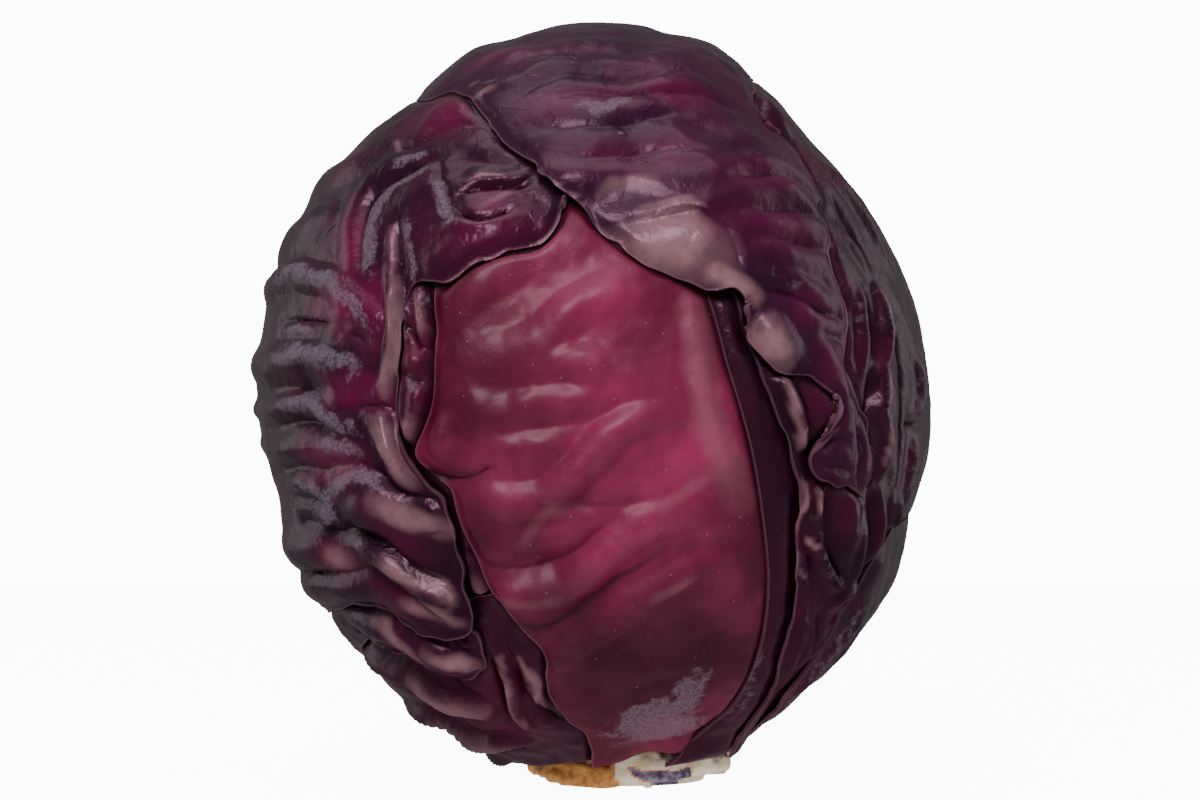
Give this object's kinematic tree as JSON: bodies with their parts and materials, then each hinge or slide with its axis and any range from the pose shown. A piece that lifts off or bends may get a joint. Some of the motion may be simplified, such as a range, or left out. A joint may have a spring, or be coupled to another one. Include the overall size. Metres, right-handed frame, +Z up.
{
  "type": "red cabbage head",
  "caption": "Whole red cabbage standing on its cut stem, a tight heart wrapped in layers of crumpled purple leaves with free edges.",
  "frame": {"origin": "on the flat cut face of the stem, at the middle of the stump", "axes": "+Z up along the stem, the front with the bare magenta leaf looks along -Y, +X to the right of the front"},
  "size_m": [0.1466, 0.1442, 0.1676],
  "materials": {
    "outer_leaf": "dark purple wrapper leaf, waxy and half glossy, with grey bloom on its ridges",
    "inner_leaf": "magenta purple inner leaf, smooth and waxy, with fine frosting and water drops",
    "cut_stem": "pale cream cut stem, matt, browned and orange where it has dried"
  },
  "bodies": {
    "root": {"stem": "cut_stem", "heart": "inner_leaf", "leaf_inner_left": "inner_leaf", "leaf_foot_left": "outer_leaf", "leaf_centre": "inner_leaf", "leaf_low_left": "outer_leaf", "leaf_inner_right": "outer_leaf", "leaf_left": "outer_leaf", "leaf_right": "outer_leaf", "leaf_foot_right": "outer_leaf", "leaf_top": "outer_leaf", "leaf_back": "outer_leaf"}
  },
  "joints": []
}
